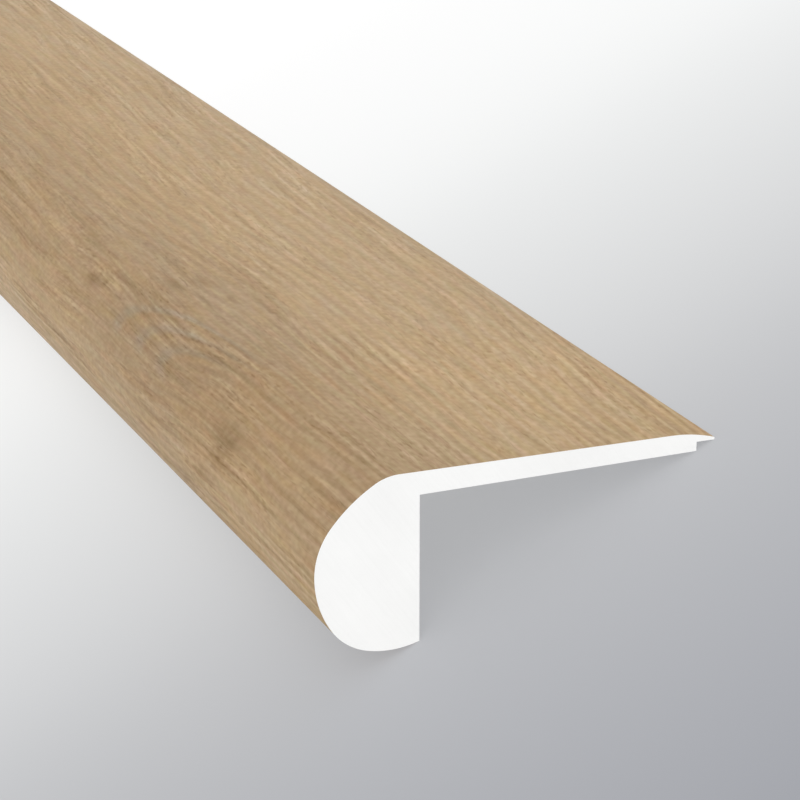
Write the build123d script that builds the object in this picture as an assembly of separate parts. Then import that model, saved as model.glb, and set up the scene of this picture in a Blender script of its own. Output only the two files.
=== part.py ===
from build123d import *
from math import acos, asin, atan2, cos, degrees, hypot, radians, sin
import os

# A flush stair nosing: one extruded stick with a bulging nose, a thin deck behind it and a lip at the
# back of the deck. All lengths are in millimetres and all angles in degrees.

# Overall sizes of the stick
length = 2387.6
overall_width = 60.0
overall_height = 25.4

# Deck: the thin part that lies on the step, a little thinner towards the lip
nose_depth = 15.3
deck_thickness_at_nose = 3.35
deck_thickness_at_lip = 2.75

# Lip: the edge past the rebate, which slopes down over the flooring
lip_reach = 2.8
lip_thickness = 1.4
lip_edge_thickness = 0.35
lip_edge_radius = 0.12
lip_top_radius = 22.0

# Nose outline: tangent arcs from the deck's top, down the front and under to the inner face.
# The front arc ends upright, the belly arc starts there and the sole arc passes level at the bottom.
shoulder_radius = 7.0
shoulder_turn = 30.0
brow_radius = 23.0
brow_turn = 21.0
front_radius = 11.0
belly_turn = 34.0
heel_radius = 9.0
heel_turn = 43.0
sole_radius = 14.0


def fall(radius, heading, turn):
    """Height lost along an arc that starts at a heading below level and turns on by an angle."""
    return radius * (cos(radians(heading)) - cos(radians(heading + turn)))


def advance(radius, heading, turn):
    """Distance gained towards the front along the same arc, negative where it comes back."""
    return radius * (sin(radians(heading + turn)) - sin(radians(heading)))


def arc_steps(arcs, heading):
    """Each arc of a run as its radius, the heading it starts at and its turn."""
    steps = []
    for radius, turn in arcs:
        steps.append((radius, heading, turn))
        heading = heading + turn
    return steps


# Upper run: level at the deck's top, upright at the front
upright = 90.0
front_turn = upright - shoulder_turn - brow_turn
upper_arcs = [(shoulder_radius, shoulder_turn), (brow_radius, brow_turn), (front_radius, front_turn)]
upper_fall = sum(fall(*step) for step in arc_steps(upper_arcs, 0.0))
upper_advance = sum(advance(*step) for step in arc_steps(upper_arcs, 0.0))

# Lower run: the belly's radius takes up the height that the other arcs leave
belly_end = upright + belly_turn
heel_end = belly_end + heel_turn
sole_turn = 2 * upright - heel_end
heel_fall = fall(heel_radius, belly_end, heel_turn)
sole_fall = fall(sole_radius, heel_end, sole_turn)
belly_radius = (overall_height - upper_fall - heel_fall - sole_fall) / fall(1.0, upright, belly_turn)
lower_arcs = [(belly_radius, belly_turn), (heel_radius, heel_turn), (sole_radius, sole_turn)]
lower_advance = sum(advance(*step) for step in arc_steps(lower_arcs, upright))

# Past its lowest line the sole rises again, up to the inner face
lowest_line_x = -nose_depth - lower_advance
sole_rise_turn = degrees(asin(-lowest_line_x / sole_radius))
inner_corner_z = -overall_height + fall(sole_radius, 0.0, sole_rise_turn)

# Lip outline, measured from the deck's top above the inner face
lip_tip_x = overall_width - nose_depth
rebate_x = lip_tip_x - lip_reach
lip_drop = lip_thickness - lip_edge_thickness
lip_slope_turn = degrees(acos(1 - lip_drop / lip_top_radius))
lip_slope_run = lip_top_radius * sin(radians(lip_slope_turn))


def nosing_section():
    """The section, with the deck's top at height 0 and the inner face at 0 across."""
    with BuildSketch(Plane.XZ) as section:
        with BuildLine():
            end = Vector(upper_advance - nose_depth, 0)
            heading = Vector(-1, 0)
            top_end = end
            for radius, turn in upper_arcs + lower_arcs + [(sole_radius, sole_rise_turn)]:
                arc = JernArc(start=end, tangent=heading, radius=radius, arc_size=turn)
                end = arc @ 1
                heading = arc % 1
            slope = JernArc(
                start=(lip_tip_x - lip_slope_run, 0),
                tangent=(1, 0),
                radius=lip_top_radius,
                arc_size=-lip_slope_turn,
            )
            Polyline(
                end,
                (0, -deck_thickness_at_nose),
                (rebate_x, -deck_thickness_at_lip),
                (rebate_x, -lip_thickness),
                (lip_tip_x, -lip_thickness),
                slope @ 1,
            )
            Line(slope @ 0, top_end)
        make_face()
        lip_corners = section.vertices().sort_by(Axis.X)[-2:]
        fillet(lip_corners, radius=lip_edge_radius)
    return section.sketch


def resting_tilt():
    """Angle at which the stick rests, on the nose's inner corner and whichever of lip and deck is lower."""
    lip_across = lip_tip_x - lip_edge_radius
    lip_up = lip_edge_radius - lip_thickness - inner_corner_z
    lip_touch = atan2(lip_up, lip_across) - asin(lip_edge_radius / hypot(lip_across, lip_up))
    deck_touch = atan2(-deck_thickness_at_lip - inner_corner_z, rebate_x)
    return degrees(min(lip_touch, deck_touch))


# The stick runs along Y, with its middle at 0
stick = extrude(nosing_section(), amount=length / 2, both=True)

# It lies tipped back on its nose and lip, over the origin
nosing = stick.rotate(Axis.Y, resting_tilt())
extent = nosing.bounding_box()
nosing = nosing.translate((-extent.center().X, -extent.center().Y, -extent.min.Z))
nosing.label = "stair_nosing"

os.makedirs("parts", exist_ok=True)
export_step(nosing, "parts/stair_nosing.step")
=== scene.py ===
import bpy
from math import acos, asin, atan2, cos, degrees, pi, radians, sin, sqrt
from mathutils import Matrix, Vector


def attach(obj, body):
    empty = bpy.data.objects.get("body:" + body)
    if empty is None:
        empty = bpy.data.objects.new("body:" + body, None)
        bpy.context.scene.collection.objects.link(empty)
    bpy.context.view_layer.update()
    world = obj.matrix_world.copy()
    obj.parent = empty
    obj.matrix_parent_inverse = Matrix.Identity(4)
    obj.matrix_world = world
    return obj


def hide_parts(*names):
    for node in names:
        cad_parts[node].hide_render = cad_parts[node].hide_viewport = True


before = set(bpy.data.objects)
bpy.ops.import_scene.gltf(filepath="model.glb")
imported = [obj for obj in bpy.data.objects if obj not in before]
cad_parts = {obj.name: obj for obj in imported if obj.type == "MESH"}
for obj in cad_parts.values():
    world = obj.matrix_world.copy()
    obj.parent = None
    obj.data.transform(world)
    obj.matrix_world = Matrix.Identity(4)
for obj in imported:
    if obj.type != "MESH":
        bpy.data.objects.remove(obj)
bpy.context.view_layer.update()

# Section of the stick in its own frame: across to the lip and up, with the origin on the deck's top
# above the inner face. Lengths are in metres and angles in degrees, and the sizes are the CAD model's.
MM = 0.001
NODE = "stair_nosing"
LENGTH = 2387.6 * MM
WIDTH = 60.0 * MM
HEIGHT = 25.4 * MM
NOSE_DEPTH = 15.3 * MM
DECK_AT_NOSE = 3.35 * MM
DECK_AT_LIP = 2.75 * MM
LIP_REACH = 2.8 * MM
LIP_THICKNESS = 1.4 * MM
LIP_EDGE = 0.35 * MM
LIP_EDGE_RADIUS = 0.12 * MM
LIP_TOP_RADIUS = 22.0 * MM
SHOULDER_RADIUS = 7.0 * MM
SHOULDER_TURN = 30
BROW_RADIUS = 23.0 * MM
BROW_TURN = 21
FRONT_RADIUS = 11.0 * MM
BELLY_TURN = 34
HEEL_RADIUS = 9.0 * MM
HEEL_TURN = 43
SOLE_RADIUS = 14.0 * MM

# How finely the arcs and the length are divided
ARC_STEP = 2
ROWS = 5
STEPS_A_ROW = 8

# The map of the surface, a unit square: the film in rows, one above the other, then a strip of core
ROW_MARGIN = 0.003
CORE_STRIP = 0.052
END_SCALE = 2.05

# Camera, fitted to the photograph's outline of the cut end and to its long edges
CAMERA_PLACE = (-0.07439, -1.54717, 0.21457)
CAMERA_HEADING = 10.869
CAMERA_DOWN = 26.830
CAMERA_ROLL = -28.729
CAMERA_LENS = 136.28
CAMERA_CLIP = 0.01

# Light and floor. BACKDROP gives the floor's colours on a screen by how far they lie along a heading, in
# metres: painted shade, grey in front of the near end and white towards the stick, as a falloff of light.
# Away from its middle they give way to FAR_COLOUR between the two distances of BACKDROP_FADE.
SKY = 0.84
SUN = 1.0
SUN_WIDTH = 60
TO_SUN = (-0.1, -0.65, 0.75)
FLOOR_PALE = 0.75
FLOOR_LIT = 0.31
FLOOR_GLOW = 0.68
FLOOR_SIZE = 80
FAR_COLOUR = (217, 219, 222)
BACKDROP_HEADING = 81
BACKDROP_MIDDLE = (0.01, -1.054)
BACKDROP_FADE = (0.22, 0.8)
BACKDROP = [
    (-1.31, (151, 155, 161)),
    (-1.256, (164, 166, 172)),
    (-1.152, (203, 204, 206)),
    (-1.054, (240, 241, 241)),
    (-0.955, (254, 254, 254)),
    (-0.9, (255, 255, 255)),
]

# The oak pattern, all in millimetres on the film. Places are (along, across): along from the near cut
# end, across from the lip's lower edge. PHOTOGRAPHED is how far along the photograph shows the stick.
PHOTOGRAPHED = 340
UNSEEN_FADE = 250

# The line of the pith, where it dips under the film and comes up, and how the grain fans out from it
PITH_ACROSS = 58.5
PITH_SLOPE = 0.171
PITH_START = 41.7
PITH_END = 150
PITH_DEPTH = 1.5
DEPTH_BLEND = 2
START_BLEND = 14
END_BLEND = 60
GRAIN_FAN = 450
FAN_BLEND = 80

# The growth rings: their pitch, and the distance from the pith within which there is one more ring to
# every EXTRA_RING. They show on the flanks, by the share of a point's distance that is across.
RING_PITCH = 1.75
CLOSE_RINGS = 12
EXTRA_RING = 8
CLOSE_BLEND = 4
RING_SHIFT = 0.7
FLANK = (0.3, 0.85)
FLANK_FAR_LOSS = 0.6
SIDE_WIDTH = 7

# The grain is packed closer about the pith's line: by how much, and over which distance
PACKED_BY = 3
PACKED_OVER = 6

# How far noise shifts the pattern. The wander is only in the part that the photograph doesn't show.
DRIFT = 7
SHORT_DRIFT = 1.8
WOBBLE = 0.5
WANDER = 60
CENTRE_WANDER = 40

# The noises of the pattern: seed, length and width of a mark, and octaves. SEED_STEP keeps them apart.
SEED_STEP = 31.7
MARKS = {
    "drift": (1, 190, 60, 1),
    "short drift": (2, 42, 15, 1),
    "wobble": (3, 12, 4, 1),
    "pith": (4, 640, 900, 1),
    "centre": (5, 300, 900, 1),
    "broad": (6, 110, 6.5, 2),
    "bent": (7, 24, 0.8, 2),
    "fine": (8, 2.6, 0.48, 2),
    "brushed": (9, 32, 1.3, 1),
    "pores": (10, 2.4, 0.4, 1),
    "crowd": (11, 30, 3.2, 2),
    "speckle": (12, 1.1, 0.7, 1),
    "band": (13, 420, 900, 1),
    "ring shift": (14, 40, 2.6, 1),
    "ring strength": (15, 24, 2.6, 2),
    "blotch": (16, 3, 2, 2),
    "hue": (17, 16, 2.6, 2),
    "fine hue": (18, 6, 0.9, 1),
    "near streaks": (19, 28, 0.85, 2),
    "pink": (20, 9, 1.1, 3),
    "far streaks": (21, 24, 0.55, 2),
    "veins": (22, 55, 1.5, 1),
    "arc breaks": (23, 4, 1.2, 1),
}
FAR_STREAK_GAIN = 1.5
PORE_EDGE = (0.1, 0.24)
CROWD_EDGE = (-0.14, 0.14)
BRUSHED_WIDTH = 0.016
VEIN_WIDTH = 0.014

# How strongly each shows. A pair is a level, and how much the crowding, a noise or the flank adds.
RING_STRENGTH = (0.5, 2.2)
STREAK_STRENGTH = (0.5, 0.9)
FINE_STRENGTH = (0.6, 0.6)
KNOT_STRENGTH = (1, 1.6)
ARC_STRENGTH = (1.1, 1.2)
FLANK_STRENGTH = (0.2, 0.8)
SPECKLE_FAR_LOSS = 0.4
FINE_HUE_GAIN = 1.2

# How far each part of the pattern moves the tone, on the scale of FILM_COLOURS
TONES = {
    "broad": 5,
    "rings": 9,
    "bent": 9,
    "streaks": 36,
    "fine": 19,
    "brushed": 4,
    "veins": -5,
    "pores": -12,
    "speckle": 20,
}
BASE_TONE = 1

# The darker band along the stick and the paler nose: across from where to where, and by how much.
# Further along, the band is less dark.
BAND = (25, 54)
BAND_TONE = 19
BAND_LOSS = 5
BAND_LOSS_ALONG = (90, 160)
PALE_NOSE = (58, 71)
PALE_NOSE_TONE = 14

# The flame's grey arcs by distance from the pith, with a warm dark line inside each
FLAME_ARCS = [5.85, 7.7, 9.6]
ARC_WIDTH = 0.38
ARC_FADE_ALONG = (48, 68)
ARC_FADE_ACROSS = (59, 62)
INNER_LINE = 0.6
INNER_WIDTH = 0.35
INNER_TONE = 5
INNER_HUE = 0.4

# Places on the film, each with its half-length and half-width. PATCHES are paler and warmer by so much,
# LIVELY ones have stronger streaks, or weaker ones where it is negative, and KNOTS are darker.
PATCHES = [
    ((8, 43), (24, 8), 5, -0.6),
    ((8, 52), (34, 22), 2, -0.3),
    ((75, 45), (40, 5), 3, -0.4),
    ((45, 55), (20, 9), -4, 0),
    ((75, 62), (26, 6), -5, 0),
    ((85, 58), (30, 8), 1, -0.35),
    ((12, 72), (26, 5), 6, -0.25),
    ((190, 30), (110, 10), -3, 0.35),
    ((300, 36), (90, 14), -2, 0.3),
]
LIVELY = [
    ((165, 74), (80, 9), 1.5),
    ((150, 57), (80, 5), 0.4),
    ((82, 49), (24, 12), 0.3),
    ((140, 7), (80, 5), 0.25),
    ((14, 20), (18, 8), -0.35),
    ((14, 62), (18, 7), -0.25),
    ((125, 17), (30, 6), -0.2),
    ((280, 24), (60, 5), -0.35),
]
KNOTS = [
    ((40.5, 61.6), (4.6, 2.6), 20),
    ((41.5, 64.6), (2.4, 1.4), 14),
    ((47, 68.5), (4.0, 1.6), 13),
    ((57, 73), (4.0, 1.8), 14),
    ((85, 42.4), (1.6, 0.5), 16),
    ((96, 43.3), (3.6, 0.7), 23),
    ((96, 48.3), (4.0, 0.6), 18),
    ((117, 26.6), (4.0, 0.5), 13),
    ((112.6, 56), (1.0, 0.8), 20),
    ((117.4, 56.8), (2.6, 1.0), 24),
]

# The film's colours on a screen by tone, and the tints that multiply them
FILM_COLOURS = [
    (-50, (133, 105, 70)),
    (-20, (162, 134, 99)),
    (0, (182, 155, 119)),
    (20, (202, 176, 141)),
    (40, (221, 197, 163)),
]
COOL = (0.97, 1.0, 1.06, 1)
WARM = (1.03, 1.0, 0.94, 1)
GREENISH = (0.95, 1.05, 0.95, 1)
PINKISH = (1.05, 0.95, 1.05, 1)
ARC_GREY = (0.93, 1.0, 1.13, 1)
FILM_ROUGHNESS = 0.58
FILM_GLOSS = 0.2
FILM_EMBOSS = 0.04 * MM
STREAK_SHEEN = 0.1
RING_RELIEF = 0.3
PORE_RELIEF = 0.5

# The white core: its colours, the size of its clouds, and its fine lines' width and length in millimetres
CORE_COLOURS = [(-1, (240, 240, 239)), (1, (252, 252, 251))]
CORE_ROUGHNESS = 0.5
CORE_GLOSS = 0.3
CORE_EMBOSS = 0.03 * MM
CLOUD = 9
CLOUD_TONE = 1.2
LINE_TONE = 0.6
LINE_ROUGHNESS = 0.2
DIE_LINE = (0.5, 70)
SAW_LINE = (0.35, 14)
SAW_LEAN = 0.15
TURN = 2 * pi


def fall(radius, heading, turn):
    """Height lost along an arc that starts at a heading below level and turns on by an angle."""
    return radius * (cos(radians(heading)) - cos(radians(heading + turn)))


def advance(radius, heading, turn):
    """Distance gained towards the front along the same arc."""
    return radius * (sin(radians(heading + turn)) - sin(radians(heading)))


def total(measure, arcs, heading):
    """Sum of fall or advance along a run of arcs."""
    found = 0
    for radius, turn in arcs:
        found += measure(radius, heading, turn)
        heading += turn
    return found


def nose_arcs():
    """The nose's arcs from the deck's top round to the inner face, and where across they start."""
    upper = [
        (SHOULDER_RADIUS, SHOULDER_TURN),
        (BROW_RADIUS, BROW_TURN),
        (FRONT_RADIUS, 90 - SHOULDER_TURN - BROW_TURN),
    ]
    belly_end = 90 + BELLY_TURN
    heel_and_sole = [(HEEL_RADIUS, HEEL_TURN), (SOLE_RADIUS, 180 - belly_end - HEEL_TURN)]
    left = HEIGHT - total(fall, upper, 0) - total(fall, heel_and_sole, belly_end)
    lower = [(left / fall(1, 90, BELLY_TURN), BELLY_TURN)] + heel_and_sole
    lowest = -NOSE_DEPTH - total(advance, lower, 90)
    sole_rise = (SOLE_RADIUS, degrees(asin(-lowest / SOLE_RADIUS)))
    return upper + lower + [sole_rise], total(advance, upper, 0) - NOSE_DEPTH


def add_arcs(points, heading, arcs):
    """Adds the points of a run of arcs that turn left, from a heading.

    Headings are counter-clockwise from the lip's side.
    """
    for radius, turn in arcs:
        centre = points[-1] + radius * Vector((-sin(radians(heading)), cos(radians(heading))))
        steps = max(2, round(turn / ARC_STEP))
        for step in range(1, steps + 1):
            angle = radians(heading + turn * step / steps)
            points.append(centre + radius * Vector((sin(angle), -cos(angle))))
        heading += turn


def section():
    """The outline, counter-clockwise: the points the film covers, then the bare corners under it."""
    tip = WIDTH - NOSE_DEPTH
    drop = LIP_THICKNESS - LIP_EDGE
    slope_run = LIP_TOP_RADIUS * sin(acos(1 - drop / LIP_TOP_RADIUS))
    inner_run = slope_run - LIP_EDGE_RADIUS
    inner_radius = LIP_TOP_RADIUS - LIP_EDGE_RADIUS
    slope_turn = degrees(asin(inner_run / inner_radius))
    edge_top = sqrt(inner_radius**2 - inner_run**2) - LIP_TOP_RADIUS
    film = [Vector((tip - LIP_EDGE_RADIUS, -LIP_THICKNESS))]
    add_arcs(film, 0, [(LIP_EDGE_RADIUS, 90)])
    film.append(Vector((tip, edge_top)))
    add_arcs(film, 90, [(LIP_EDGE_RADIUS, 90 - slope_turn), (LIP_TOP_RADIUS, slope_turn)])
    arcs, nose_start = nose_arcs()
    film.append(Vector((nose_start, 0)))
    add_arcs(film, 180, arcs)
    bare = [
        Vector((0, -DECK_AT_NOSE)),
        Vector((tip - LIP_REACH, -DECK_AT_LIP)),
        Vector((tip - LIP_REACH, -LIP_THICKNESS)),
    ]
    return film, bare


def resting_tilt(corner):
    """Angle at which the nose's inner corner and whichever of lip and deck is lower touch the floor."""
    lip = Vector((WIDTH - NOSE_DEPTH - LIP_EDGE_RADIUS, LIP_EDGE_RADIUS - LIP_THICKNESS)) - corner
    deck = Vector((WIDTH - NOSE_DEPTH - LIP_REACH, -DECK_AT_LIP)) - corner
    lip_touch = atan2(lip.y, lip.x) - asin(LIP_EDGE_RADIUS / lip.length)
    return min(lip_touch, atan2(deck.y, deck.x))


def laid_down(outline, corner):
    """The outline as the stick rests, in the frame's X and Z: tilted, on the floor and centred."""
    tilt = resting_tilt(corner)
    turned = []
    for point in outline:
        across = point.x * cos(tilt) + point.y * sin(tilt)
        up = point.y * cos(tilt) - point.x * sin(tilt)
        turned.append(Vector((across, up)))
    middle = (max(p.x for p in turned) + min(p.x for p in turned)) / 2
    lowest = min(p.y for p in turned)
    return [Vector((p.x - middle, p.y - lowest)) for p in turned]


def distances(points):
    """How far along a line of points each of them is."""
    found = [0.0]
    for before, after in zip(points, points[1:]):
        found.append(found[-1] + (after - before).length)
    return found


def make_stick(film_material, moulded_core, cut_core):
    """The stick's mesh: rings of the outline along Y, with the film's coordinates and its map."""
    film, bare = section()
    outline = laid_down(film + bare, film[-1])
    around = len(outline)
    steps = ROWS * STEPS_A_ROW
    places = [-LENGTH / 2 + LENGTH * step / steps for step in range(steps + 1)]
    vertices = [(p.x, y, p.y) for y in places for p in outline]
    faces = []
    for step in range(steps):
        for i in range(around):
            j = (i + 1) % around
            a = step * around
            faces.append((a + i, a + around + i, a + around + j, a + j))
    faces.append(tuple(range(around)))
    faces.append(tuple(steps * around + i for i in reversed(range(around))))
    mesh = bpy.data.meshes.new("nosing_stick")
    mesh.from_pydata(vertices, [], faces)
    for material in (film_material, moulded_core, cut_core):
        mesh.materials.append(material)

    girth = distances(outline + outline[:1])
    film_faces = len(film) - 1
    for face in mesh.polygons:
        step, i = divmod(face.index, around)
        filmed = step < steps and i < film_faces
        face.material_index = 2 if step == steps else 0 if filmed else 1
        face.use_smooth = filmed

    where = mesh.attributes.new("film", "FLOAT_VECTOR", "POINT")
    for index, vertex in enumerate(mesh.vertices):
        where.data[index].vector = (girth[index % around], vertex.co.y + LENGTH / 2, 0)
    lay_out_map(mesh, outline, girth, film_faces)
    return mesh


def lay_out_map(mesh, outline, girth, film_faces):
    """The map: a row of film for each fifth of the length, and a strip for the core's faces."""
    around = len(outline)
    steps = ROWS * STEPS_A_ROW
    row_pitch = (1 - CORE_STRIP) / ROWS
    row_height = row_pitch - ROW_MARGIN
    film_girth = girth[film_faces]
    left = min(p.x for p in outline)
    end_width = (max(p.x for p in outline) - left) * END_SCALE
    sides_start = 2 * (end_width + ROW_MARGIN)
    layer = mesh.uv_layers.new(name="OFBake", do_init=False)
    for face in mesh.polygons:
        step, i = divmod(face.index, around)
        for corner in face.loop_indices:
            ring, point = divmod(mesh.loops[corner].vertex_index, around)
            if step == steps:
                across = (outline[point].x - left) * END_SCALE + i * (end_width + ROW_MARGIN)
                up = 1 - CORE_STRIP + ROW_MARGIN + outline[point].y * END_SCALE
            elif i < film_faces:
                row, row_step = divmod(step, STEPS_A_ROW)
                across = (ring - step + row_step) / STEPS_A_ROW
                up = row * row_pitch + row_height * girth[point] / film_girth
            else:
                reached = girth[around] if i == around - 1 and point == 0 else girth[point]
                share = (reached - film_girth) / (girth[around] - film_girth)
                across = sides_start + (1 - sides_start) * ring / steps
                up = 1 - CORE_STRIP + ROW_MARGIN + (CORE_STRIP - 2 * ROW_MARGIN) * share
            layer.uv[corner].vector = (across, up)


class Field:
    """A number that a material's nodes work out at each point, with plain arithmetic."""

    def __init__(self, socket):
        self.socket = socket

    def __add__(self, other):
        return worked_out("ADD", self, other)

    __radd__ = __add__

    def __sub__(self, other):
        return worked_out("SUBTRACT", self, other)

    def __rsub__(self, other):
        return worked_out("SUBTRACT", other, self)

    def __mul__(self, other):
        return worked_out("MULTIPLY", self, other)

    __rmul__ = __mul__

    def __truediv__(self, other):
        return worked_out("DIVIDE", self, other)


def plug(socket, value):
    """Links a socket to a field, or sets it to a plain number or colour."""
    if isinstance(value, Field):
        socket.id_data.links.new(value.socket, socket)
    else:
        socket.default_value = value


def worked_out(operation, *values):
    """A Math node on fields and numbers."""
    tree = next(value.socket.id_data for value in values if isinstance(value, Field))
    node = tree.nodes.new("ShaderNodeMath")
    node.operation = operation
    for socket, value in zip(node.inputs, values):
        plug(socket, value)
    return Field(node.outputs[0])


def larger(a, b, blend):
    """The larger of two, rounded where they cross."""
    return worked_out("SMOOTH_MAX", a, b, blend)


def smaller(a, b, blend):
    """The smaller of two, rounded where they cross."""
    return worked_out("SMOOTH_MIN", a, b, blend)


def diagonal(a, b):
    """Square root of the sum of two squares."""
    return worked_out("SQRT", a * a + b * b)


def bump(value, width):
    """1 where the value is nought, falling away to nought on both sides."""
    scaled = value / width
    return worked_out("EXPONENT", scaled * scaled * -1)


def rise(value, low, high):
    """Goes smoothly from 0 at low to 1 at high."""
    node = value.socket.id_data.nodes.new("ShaderNodeMapRange")
    node.interpolation_type = "SMOOTHSTEP"
    plug(node.inputs["Value"], value)
    node.inputs["From Min"].default_value = low
    node.inputs["From Max"].default_value = high
    return Field(node.outputs["Result"])


def noise(seed, x, y, z=0, octaves=1):
    """Smooth noise about nought. Each seed gives another pattern."""
    tree = x.socket.id_data
    place = tree.nodes.new("ShaderNodeCombineXYZ")
    for socket, value in zip(place.inputs, (x, y, z + SEED_STEP * seed)):
        plug(socket, value)
    node = tree.nodes.new("ShaderNodeTexNoise")
    node.inputs["Scale"].default_value = 1
    node.inputs["Detail"].default_value = octaves - 1
    tree.links.new(place.outputs["Vector"], node.inputs["Vector"])
    return Field(node.outputs["Fac"]) - 0.5


def coloured(red, green, blue):
    """A colour as a shader takes it, from its values on a screen, 0 to 255."""
    found = []
    for value in (red, green, blue):
        share = value / 255
        found.append(share / 12.92 if share <= 0.04045 else ((share + 0.055) / 1.055) ** 2.4)
    return (*found, 1)


def ramp(value, stops):
    """Colour by value, through stops of a value and its colour on a screen."""
    low, high = stops[0][0], stops[-1][0]
    node = value.socket.id_data.nodes.new("ShaderNodeValToRGB")
    plug(node.inputs["Fac"], (value - low) / (high - low))
    elements = node.color_ramp.elements
    while len(elements) < len(stops):
        elements.new(1)
    for element, (at, colour) in zip(elements, stops):
        element.position = (at - low) / (high - low)
        element.color = coloured(*colour)
    return Field(node.outputs["Color"])


def blended(share, first, second, kind="MIX"):
    """Two colours mixed by a share."""
    tree = next(v.socket.id_data for v in (share, first, second) if isinstance(v, Field))
    node = tree.nodes.new("ShaderNodeMix")
    node.data_type = "RGBA"
    node.blend_type = kind
    colours = [socket for socket in node.inputs if socket.type == "RGBA"]
    plug(node.inputs["Factor"], share)
    plug(colours[0], first)
    plug(colours[1], second)
    return Field(next(socket for socket in node.outputs if socket.type == "RGBA"))


def new_material(name):
    """An empty material with its shader."""
    material = bpy.data.materials.new(name)
    material.use_nodes = True
    return material, material.node_tree.nodes["Principled BSDF"]


def emboss(shader, height, depth):
    """Gives a shader a bump from a height field, with its depth in metres."""
    node = shader.id_data.nodes.new("ShaderNodeBump")
    node.inputs["Distance"].default_value = depth
    plug(node.inputs["Height"], height)
    plug(shader.inputs["Normal"], Field(node.outputs["Normal"]))


def on_film(tree):
    """Where a point is on the film, in millimetres: across from the lip, along from the near end."""
    node = tree.nodes.new("ShaderNodeAttribute")
    node.attribute_name = "film"
    split = tree.nodes.new("ShaderNodeSeparateXYZ")
    tree.links.new(node.outputs["Vector"], split.inputs["Vector"])
    return Field(split.outputs["X"]) / MM, Field(split.outputs["Y"]) / MM


def spot(along, across, place, size):
    """1 at a place on the film, falling away over a half-length and a half-width."""
    return bump(diagonal((along - place[0]) / size[0], (across - place[1]) / size[1]), 1)


def varied(field, level, gain):
    """A level, with a field times its gain added."""
    return level + gain * field


def marks(name, along, across, side=0):
    """The noise of that name in MARKS."""
    seed, length, width, octaves = MARKS[name]
    return noise(seed, along / length, across / width, side, octaves)


def pith_depth(along):
    """How deep under the film the pith lies, before it comes up again."""
    return PITH_SLOPE * larger(along - PITH_START, 0, START_BLEND)


def growth(along, across, run, wobble, unseen):
    """How far a point is from the pith's line, with the fan of the grain closed, and from the pith."""
    drift = DRIFT * marks("drift", along, across) + SHORT_DRIFT * marks("short drift", along, across)
    pith = PITH_ACROSS + WANDER * marks("pith", along, across) * unseen
    offset = (across - pith) / (1 + run / GRAIN_FAN) + drift + wobble
    depth = pith_depth(along) - PITH_SLOPE * larger(along - PITH_END, 0, END_BLEND)
    depth = depth + CENTRE_WANDER * marks("centre", along, across) * unseen
    return offset, diagonal(offset, larger(depth, PITH_DEPTH, DEPTH_BLEND))


def growth_rings(along, ring, side):
    """The wave of the rings, closer together near the pith, here strong and there faint."""
    turns = ring / RING_PITCH + smaller(ring, CLOSE_RINGS, CLOSE_BLEND) / EXTRA_RING
    turns = turns + RING_SHIFT * marks("ring shift", along, ring, side)
    strength = varied(marks("ring strength", along, ring, side), *RING_STRENGTH)
    return worked_out("SINE", turns * TURN) * strength


def grain(along, across, offset, opened):
    """The streaks, fine marks, lines and pores by name, crowded in some places, and their relief."""
    packed = offset + PACKED_BY * worked_out("TANH", offset / PACKED_OVER)
    crowd = rise(marks("crowd", along, offset), *CROWD_EDGE)
    lively = 1
    for place, size, more in LIVELY:
        lively = lively + more * spot(along, across, place, size)
    near = marks("near streaks", along, packed)
    far = FAR_STREAK_GAIN * marks("far streaks", along, packed)
    streaks = lively * varied(crowd, *STREAK_STRENGTH) * (near + opened * (far - near))
    fine = lively * varied(crowd, *FINE_STRENGTH) * marks("fine", along, packed)
    pores = rise(marks("pores", along, packed), *PORE_EDGE)
    parts = {
        "streaks": streaks,
        "fine": fine,
        "brushed": bump(marks("brushed", along, packed), BRUSHED_WIDTH),
        "veins": bump(marks("veins", along, packed), VEIN_WIDTH),
        "pores": pores * crowd,
        "speckle": (1 - SPECKLE_FAR_LOSS * opened) * marks("speckle", along, across),
    }
    return parts, streaks + fine - PORE_RELIEF * pores


def bands(along, across, unseen):
    """The broad tone across the stick: a darker band on the deck and a paler nose."""
    place = across + WANDER * marks("band", along, across) * unseen
    dark = BAND_TONE - BAND_LOSS * rise(along, *BAND_LOSS_ALONG)
    return BASE_TONE - dark * rise(place, *BAND) + PALE_NOSE_TONE * rise(place, *PALE_NOSE)


def knots(along, across, wobble):
    """How dark the knots are, each with a blotchy edge."""
    blotch = varied(marks("blotch", along, across), *KNOT_STRENGTH)
    return sum(
        darkness * blotch * spot(along, across + wobble, place, size) for place, size, darkness in KNOTS
    )


def flame(along, across, wobble):
    """The flame's broken grey arcs, and the warm lines inside them."""
    reach = diagonal(across + wobble - PITH_ACROSS, pith_depth(along))
    fading = rise(along, *ARC_FADE_ALONG) * (1 - rise(across, *ARC_FADE_ACROSS))
    fading = fading * varied(marks("arc breaks", along, across), *ARC_STRENGTH)
    arcs = fading * sum(bump(reach - arc, ARC_WIDTH) for arc in FLAME_ARCS)
    inner = fading * sum(bump(reach - arc + INNER_LINE, INNER_WIDTH) for arc in FLAME_ARCS)
    return arcs, inner


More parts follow.
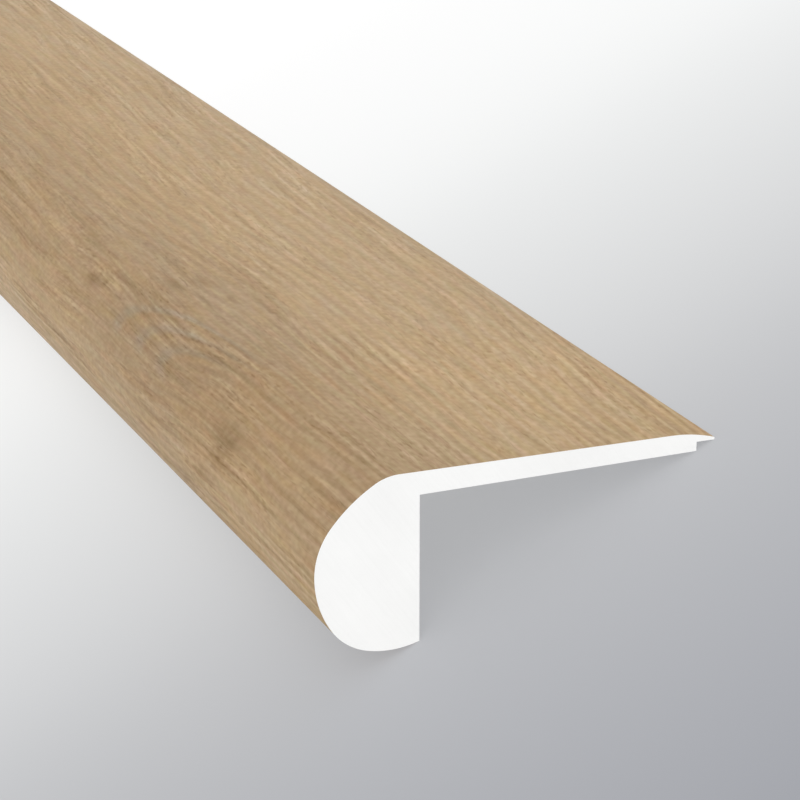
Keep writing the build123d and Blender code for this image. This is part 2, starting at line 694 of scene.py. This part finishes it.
def oak_film():
    """Printed light oak: growth rings, streaks, pale brushed lines, pores, knots and a matt emboss."""
    material, shader = new_material("oak_film")
    across, along = on_film(shader.id_data)
    unseen = rise(along, PHOTOGRAPHED, PHOTOGRAPHED + UNSEEN_FADE)
    wobble = WOBBLE * marks("wobble", along, across)
    run = larger(smaller(along, 2 * PHOTOGRAPHED - along, FAN_BLEND), 0, FAN_BLEND)
    opened = run / PHOTOGRAPHED
    offset, ring = growth(along, across, run, wobble, unseen)
    side = offset / SIDE_WIDTH
    flank = varied(rise(worked_out("ABSOLUTE", offset) / ring, *FLANK), *FLANK_STRENGTH)
    flank = flank * (1 - FLANK_FAR_LOSS * opened)
    rings = growth_rings(along, ring, side)

    parts, relief = grain(along, across, offset, opened)
    parts["broad"] = marks("broad", along, ring, side)
    parts["rings"] = flank * rings
    parts["bent"] = flank * marks("bent", along, ring, side)
    arcs, inner = flame(along, across, wobble)
    tone = bands(along, across, unseen) + sum(TONES[name] * part for name, part in parts.items())
    tone = tone - knots(along, across, wobble) - INNER_TONE * inner
    hue = marks("hue", along, offset) + FINE_HUE_GAIN * marks("fine hue", along, offset)
    hue = hue + INNER_HUE * inner
    for place, size, paler, warmer in PATCHES:
        patch = spot(along, across, place, size)
        tone = tone + paler * patch
        hue = hue + warmer * patch

    colour = ramp(tone, FILM_COLOURS)
    colour = blended(1, colour, blended(hue + 0.5, COOL, WARM), "MULTIPLY")
    pink = marks("pink", along, offset)
    colour = blended(1, colour, blended(pink + 0.5, GREENISH, PINKISH), "MULTIPLY")
    colour = blended(arcs, colour, ARC_GREY, "MULTIPLY")
    plug(shader.inputs["Base Color"], colour)
    plug(shader.inputs["Roughness"], FILM_ROUGHNESS - STREAK_SHEEN * parts["streaks"])
    shader.inputs["Specular IOR Level"].default_value = FILM_GLOSS
    emboss(shader, RING_RELIEF * rings + relief, FILM_EMBOSS)
    return material


def core(name, lines):
    """White rigid core: a trace of cloudiness, under the fine lines that a function gives."""
    material, shader = new_material(name)
    place = shader.id_data.nodes.new("ShaderNodeTexCoord")
    split = shader.id_data.nodes.new("ShaderNodeSeparateXYZ")
    shader.id_data.links.new(place.outputs["Object"], split.inputs["Vector"])
    x, y, z = (Field(socket) / MM for socket in split.outputs)
    cloud = noise(1, x / CLOUD, y / CLOUD, z / CLOUD, 3)
    ridges = lines(x, y, z)
    plug(shader.inputs["Base Color"], ramp(CLOUD_TONE * cloud + LINE_TONE * ridges, CORE_COLOURS))
    plug(shader.inputs["Roughness"], CORE_ROUGHNESS + LINE_ROUGHNESS * ridges)
    shader.inputs["Specular IOR Level"].default_value = CORE_GLOSS
    emboss(shader, ridges, CORE_EMBOSS)
    return material


def die_lines(x, y, z):
    """Faint lines along the stick, as the die leaves them."""
    width, length = DIE_LINE
    return noise(2, x / width, y / length, z / width, 2)


def saw_lines(x, y, z):
    """Faint lines across the cut end, as the saw leaves them."""
    width, length = SAW_LINE
    return noise(3, (x + SAW_LEAN * z) / width, y, z / length, 2)


def look_from_photo():
    """The camera at the photograph's place, heading, tilt and roll."""
    camera = bpy.data.objects.new("camera", bpy.data.cameras.new("camera"))
    camera.data.lens = CAMERA_LENS
    camera.data.clip_start = CAMERA_CLIP
    turn = Matrix.Rotation(radians(-CAMERA_HEADING), 4, "Z")
    turn = turn @ Matrix.Rotation(radians(90 - CAMERA_DOWN), 4, "X")
    turn = turn @ Matrix.Rotation(radians(CAMERA_ROLL), 4, "Z")
    camera.matrix_world = Matrix.Translation(CAMERA_PLACE) @ turn
    bpy.context.collection.objects.link(camera)
    bpy.context.scene.camera = camera


def seen_directly(tree):
    """1 for what the camera sees, also by way of a gloss or through glass."""
    node = tree.nodes.new("ShaderNodeLightPath")
    seen = Field(node.outputs["Is Camera Ray"])
    for ray in ("Is Glossy Ray", "Is Transmission Ray"):
        seen = worked_out("MAXIMUM", seen, Field(node.outputs[ray]))
    return seen


def pale_floor():
    """Pale floor, with painted shade from grey to white around the near end. It glows a little to hold
    the shadows back.
    """
    material, shader = new_material("floor")
    place = shader.id_data.nodes.new("ShaderNodeTexCoord")
    split = shader.id_data.nodes.new("ShaderNodeSeparateXYZ")
    shader.id_data.links.new(place.outputs["Object"], split.inputs["Vector"])
    x, y = Field(split.outputs["X"]), Field(split.outputs["Y"])
    heading = radians(BACKDROP_HEADING)
    # Painted shade: the floor's colour darkens from white to grey in front of the near end, standing in
    # for light falling off.
    shade = ramp(x * cos(heading) + y * sin(heading), BACKDROP)
    shade.socket.node.color_ramp.interpolation = "CARDINAL"
    away = diagonal(x - BACKDROP_MIDDLE[0], y - BACKDROP_MIDDLE[1])
    shade = blended(rise(away, *BACKDROP_FADE), shade, coloured(*FAR_COLOUR))
    seen = seen_directly(shader.id_data)
    lit = blended(1, shade, (FLOOR_LIT,) * 3 + (1,), "MULTIPLY")
    plug(shader.inputs["Base Color"], blended(seen, (FLOOR_PALE,) * 3 + (1,), lit))
    plug(shader.inputs["Emission Color"], shade)
    plug(shader.inputs["Emission Strength"], FLOOR_GLOW * seen)
    shader.inputs["Roughness"].default_value = 1
    shader.inputs["Specular IOR Level"].default_value = 0
    return material


def studio_world():
    """Even light from all round, on a background of the floor's far colour."""
    world = bpy.data.worlds.new("studio")
    bpy.context.scene.world = world
    world.use_nodes = True
    background = world.node_tree.nodes["Background"]
    seen = seen_directly(world.node_tree)
    plug(background.inputs["Color"], blended(seen, (1, 1, 1, 1), coloured(*FAR_COLOUR)))
    plug(background.inputs["Strength"], SKY + (1 - SKY) * seen)


look_from_photo()
stick_mesh = make_stick(oak_film(), core("core_moulded", die_lines), core("core_sawn", saw_lines))
stick = bpy.data.objects.new("nosing_stick", stick_mesh)
bpy.context.collection.objects.link(stick)
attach(stick, "root")
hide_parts(NODE)

studio_world()
sun = bpy.data.objects.new("key", bpy.data.lights.new("key", "SUN"))
sun.data.energy = SUN
sun.data.angle = radians(SUN_WIDTH)
sun.rotation_mode = "QUATERNION"
sun.rotation_quaternion = Vector(TO_SUN).to_track_quat("Z", "Y")
bpy.context.collection.objects.link(sun)

bpy.ops.mesh.primitive_plane_add(size=FLOOR_SIZE)
floor = bpy.context.object
floor.name = "floor"
floor.data.materials.append(pale_floor())

bpy.context.scene.view_settings.view_transform = "Standard"
